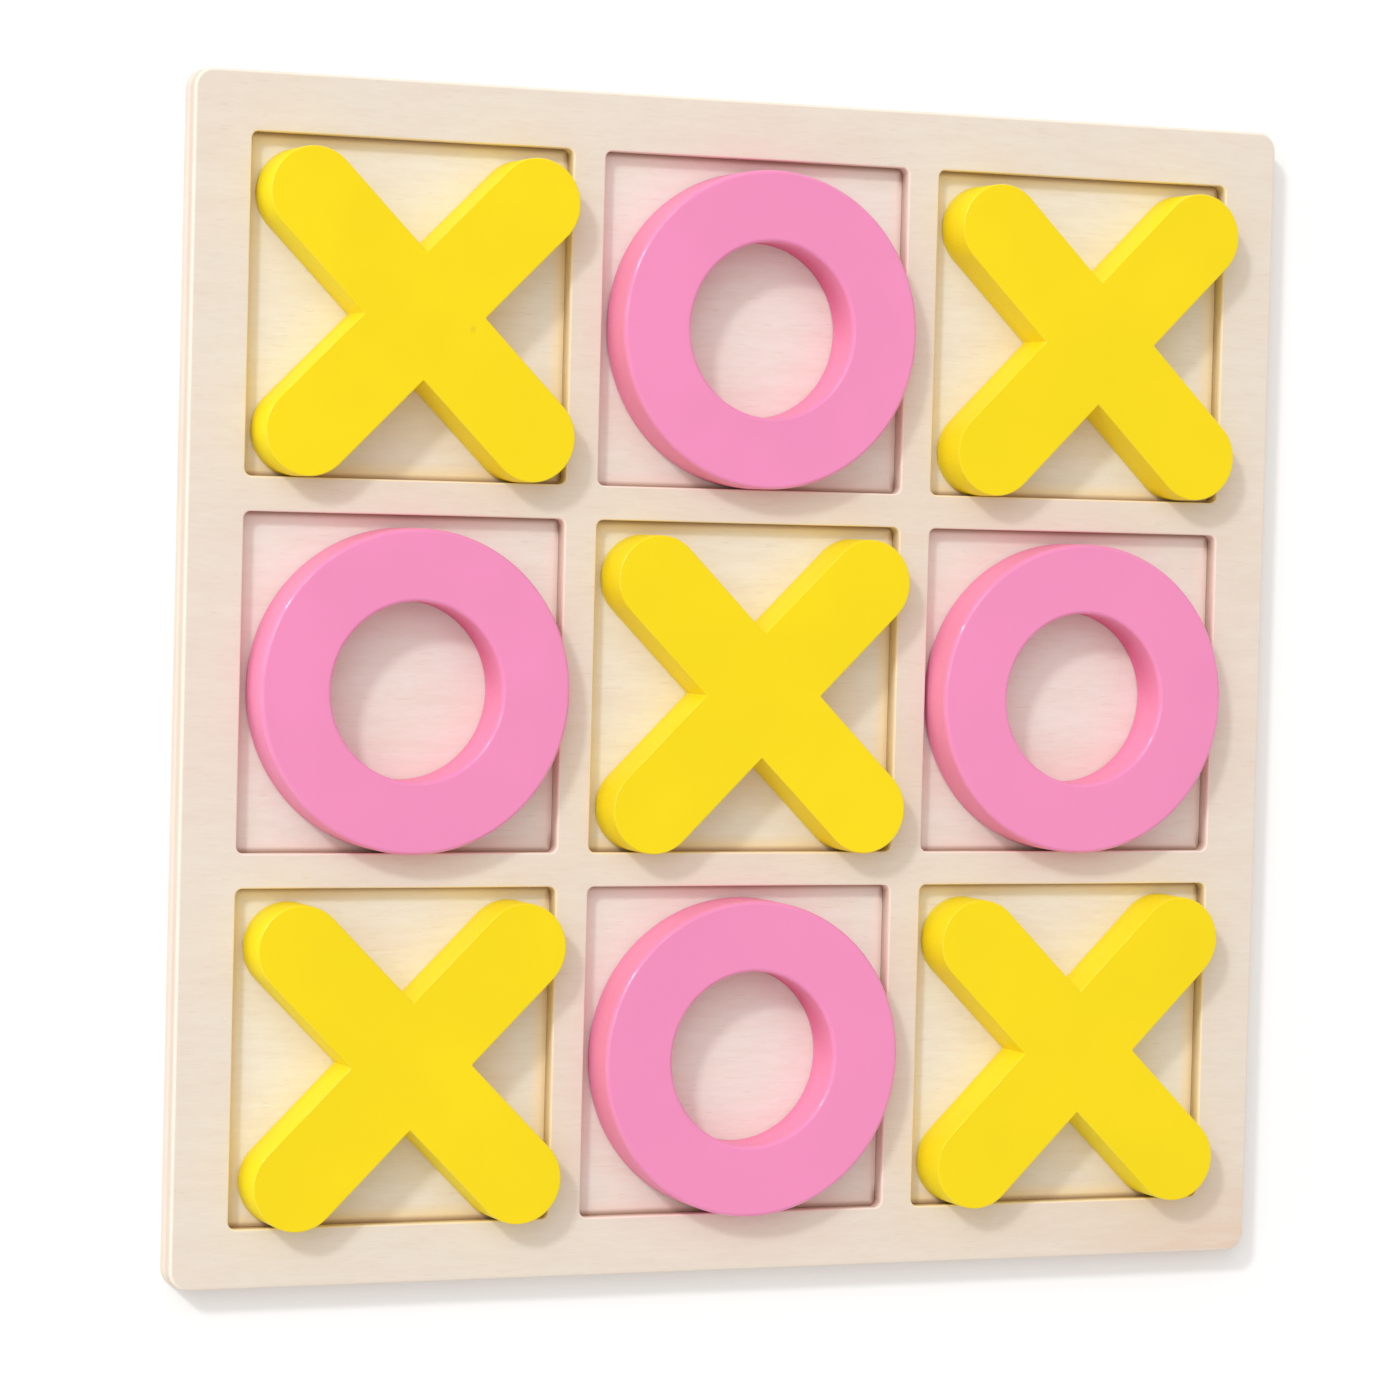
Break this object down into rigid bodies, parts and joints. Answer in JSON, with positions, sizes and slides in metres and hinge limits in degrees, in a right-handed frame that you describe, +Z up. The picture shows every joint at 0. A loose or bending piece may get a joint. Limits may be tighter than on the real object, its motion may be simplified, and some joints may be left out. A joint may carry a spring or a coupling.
{
  "type": "tic tac toe set",
  "caption": "Square wooden tic tac toe board with shallow pockets that hold loose painted crosses and rings, each lifted straight out to play.",
  "frame": {"origin": "middle of the board's underside, on the surface that it lies on", "axes": "+Z up out of the pockets; +X along the board's rows and the wood grain; +Y up its columns"},
  "size_m": [0.2, 0.2, 0.012],
  "materials": {
    "natural_wood": "fine sanded, unvarnished",
    "yellow_paint": "satin paint",
    "pink_paint": "satin paint"
  },
  "bodies": {
    "board": {"base_panel": "natural_wood", "grid_frame": "natural_wood"},
    "x_piece_1": {"x_piece_1": "yellow_paint"},
    "x_piece_2": {"x_piece_2": "yellow_paint"},
    "x_piece_3": {"x_piece_3": "yellow_paint"},
    "x_piece_4": {"x_piece_4": "yellow_paint"},
    "x_piece_5": {"x_piece_5": "yellow_paint"},
    "o_piece_1": {"o_piece_1": "pink_paint"},
    "o_piece_2": {"o_piece_2": "pink_paint"},
    "o_piece_3": {"o_piece_3": "pink_paint"},
    "o_piece_4": {"o_piece_4": "pink_paint"}
  },
  "joints": [
    {"name": "lift_x_piece_1", "type": "slide", "parent": "board", "child": "x_piece_1", "axis": [0, 0, 1], "range_m": [0, 0.06]},
    {"name": "lift_x_piece_2", "type": "slide", "parent": "board", "child": "x_piece_2", "axis": [0, 0, 1], "range_m": [0, 0.06]},
    {"name": "lift_x_piece_3", "type": "slide", "parent": "board", "child": "x_piece_3", "axis": [0, 0, 1], "range_m": [0, 0.06]},
    {"name": "lift_x_piece_4", "type": "slide", "parent": "board", "child": "x_piece_4", "axis": [0, 0, 1], "range_m": [0, 0.06]},
    {"name": "lift_x_piece_5", "type": "slide", "parent": "board", "child": "x_piece_5", "axis": [0, 0, 1], "range_m": [0, 0.06]},
    {"name": "lift_o_piece_1", "type": "slide", "parent": "board", "child": "o_piece_1", "axis": [0, 0, 1], "range_m": [0, 0.06]},
    {"name": "lift_o_piece_2", "type": "slide", "parent": "board", "child": "o_piece_2", "axis": [0, 0, 1], "range_m": [0, 0.06]},
    {"name": "lift_o_piece_3", "type": "slide", "parent": "board", "child": "o_piece_3", "axis": [0, 0, 1], "range_m": [0, 0.06]},
    {"name": "lift_o_piece_4", "type": "slide", "parent": "board", "child": "o_piece_4", "axis": [0, 0, 1], "range_m": [0, 0.06]}
  ]
}
